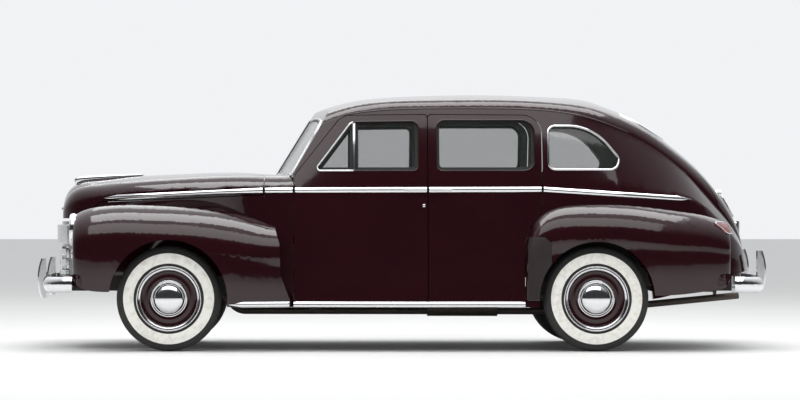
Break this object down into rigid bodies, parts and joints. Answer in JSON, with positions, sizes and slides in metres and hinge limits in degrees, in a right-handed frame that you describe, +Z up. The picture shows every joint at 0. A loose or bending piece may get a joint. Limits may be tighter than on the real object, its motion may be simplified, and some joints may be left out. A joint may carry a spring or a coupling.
{
  "type": "four-door sedan",
  "caption": "Closed four-door sedan with pontoon front fenders, a long chrome-trimmed hood, rear-hinged rear doors and whitewall tyres.",
  "frame": {"origin": "on the ground, at mid length and mid width", "axes": "+X forward, +Y to the driver's side (left), +Z up"},
  "size_m": [5.034, 1.8628, 1.764],
  "materials": {
    "body_paint": "high gloss",
    "chrome_plate": "polished",
    "window_glass": "clear",
    "tyre_rubber": "matt",
    "wheel_paint": "gloss",
    "chassis_paint": "satin",
    "forged_steel": "dull",
    "engine_iron": "painted",
    "seat_cloth": "woven",
    "dash_paint": "satin",
    "lamp_glass": "clear",
    "red_lens": "gloss"
  },
  "bodies": {
    "body": {"body_shell": "body_paint", "floor_pan": "chassis_paint", "hood_side_panels": "body_paint", "front_fenders": "body_paint", "rear_fenders": "body_paint", "nose_panel": "body_paint", "grille": "chrome_plate", "lamp_bezels": "chrome_plate", "lamp_lenses": "lamp_glass", "tail_lamps": "red_lens", "front_bumper": "chrome_plate", "rear_bumper": "chrome_plate", "body_glass": "window_glass", "chassis_frame": "chassis_paint", "front_axle": "forged_steel", "rear_axle": "forged_steel", "engine": "engine_iron", "radiator": "chassis_paint", "exhaust": "forged_steel", "fuel_tank": "chassis_paint", "front_seat": "seat_cloth", "rear_seat": "seat_cloth", "dashboard": "dash_paint"},
    "hood": {"hood": "body_paint", "hood_trim": "chrome_plate"},
    "trunk_lid": {"trunk_lid": "body_paint", "trunk_trim": "chrome_plate"},
    "steering_wheel": {"steering_wheel": "dash_paint"},
    "door_front_left": {"door_front_left": "body_paint", "glass_front_left": "window_glass", "trim_front_left": "chrome_plate"},
    "wheel_front_left": {"wheel_front_left": "wheel_paint", "tyre_front_left": "tyre_rubber"},
    "door_front_right": {"door_front_right": "body_paint", "glass_front_right": "window_glass", "trim_front_right": "chrome_plate"},
    "wheel_front_right": {"wheel_front_right": "wheel_paint", "tyre_front_right": "tyre_rubber"},
    "door_rear_left": {"door_rear_left": "body_paint", "glass_rear_left": "window_glass", "trim_rear_left": "chrome_plate"},
    "wheel_rear_left": {"wheel_rear_left": "wheel_paint", "tyre_rear_left": "tyre_rubber"},
    "door_rear_right": {"door_rear_right": "body_paint", "glass_rear_right": "window_glass", "trim_rear_right": "chrome_plate"},
    "wheel_rear_right": {"wheel_rear_right": "wheel_paint", "tyre_rear_right": "tyre_rubber"},
    "knuckle_left": {"knuckle_left": "forged_steel"},
    "knuckle_right": {"knuckle_right": "forged_steel"}
  },
  "joints": [
    {"name": "hood_hinge", "type": "hinge", "parent": "body", "child": "hood", "pos_m": [0.943, 0, 1.209], "axis": [0, -1, 0], "range_deg": [0, 45]},
    {"name": "trunk_lid_hinge", "type": "hinge", "parent": "body", "child": "trunk_lid", "pos_m": [-1.948, 0, 1.372], "axis": [0, 1, 0], "range_deg": [0, 60]},
    {"name": "door_front_left_hinge", "type": "hinge", "parent": "body", "child": "door_front_left", "pos_m": [0.745, 0.7916, 0.8045], "axis": [0, 0.0896, -0.996], "range_deg": [0, 65]},
    {"name": "door_front_right_hinge", "type": "hinge", "parent": "body", "child": "door_front_right", "pos_m": [0.745, -0.7916, 0.8045], "axis": [0, 0.0896, 0.996], "range_deg": [0, 65]},
    {"name": "door_rear_left_hinge", "type": "hinge", "parent": "body", "child": "door_rear_left", "pos_m": [-0.936, 0.7642, 1.2535], "axis": [0, -0.1289, 0.9917], "range_deg": [0, 65]},
    {"name": "door_rear_right_hinge", "type": "hinge", "parent": "body", "child": "door_rear_right", "pos_m": [-0.936, -0.7642, 1.2535], "axis": [0, -0.1289, -0.9917], "range_deg": [0, 65]},
    {"name": "steer_left", "type": "hinge", "parent": "body", "child": "knuckle_left", "pos_m": [1.587, 0.64, 0.357], "axis": [0, 0, 1], "range_deg": [-28, 28]},
    {"name": "steer_right", "type": "hinge", "parent": "body", "child": "knuckle_right", "pos_m": [1.587, -0.64, 0.357], "axis": [0, 0, 1], "range_deg": [-28, 28]},
    {"name": "steering_wheel_turn", "type": "hinge", "parent": "body", "child": "steering_wheel", "pos_m": [0.33, 0.375, 1.01], "axis": [-0.848, 0, 0.5299], "range_deg": [-510, 510]},
    {"name": "wheel_front_left_spin", "type": "hinge", "parent": "knuckle_left", "child": "wheel_front_left", "pos_m": [1.587, 0.7365, 0.357], "axis": [0, 1, 0], "continuous": true},
    {"name": "wheel_front_right_spin", "type": "hinge", "parent": "knuckle_right", "child": "wheel_front_right", "pos_m": [1.587, -0.7365, 0.357], "axis": [0, 1, 0], "continuous": true},
    {"name": "wheel_rear_left_spin", "type": "hinge", "parent": "body", "child": "wheel_rear_left", "pos_m": [-1.309, 0.762, 0.357], "axis": [0, 1, 0], "continuous": true},
    {"name": "wheel_rear_right_spin", "type": "hinge", "parent": "body", "child": "wheel_rear_right", "pos_m": [-1.309, -0.762, 0.357], "axis": [0, 1, 0], "continuous": true}
  ],
  "couplings": [
    {"joint": "steer_right", "follows": "steer_left", "ratio": 1},
    {"joint": "steering_wheel_turn", "follows": "steer_left", "ratio": 18}
  ]
}
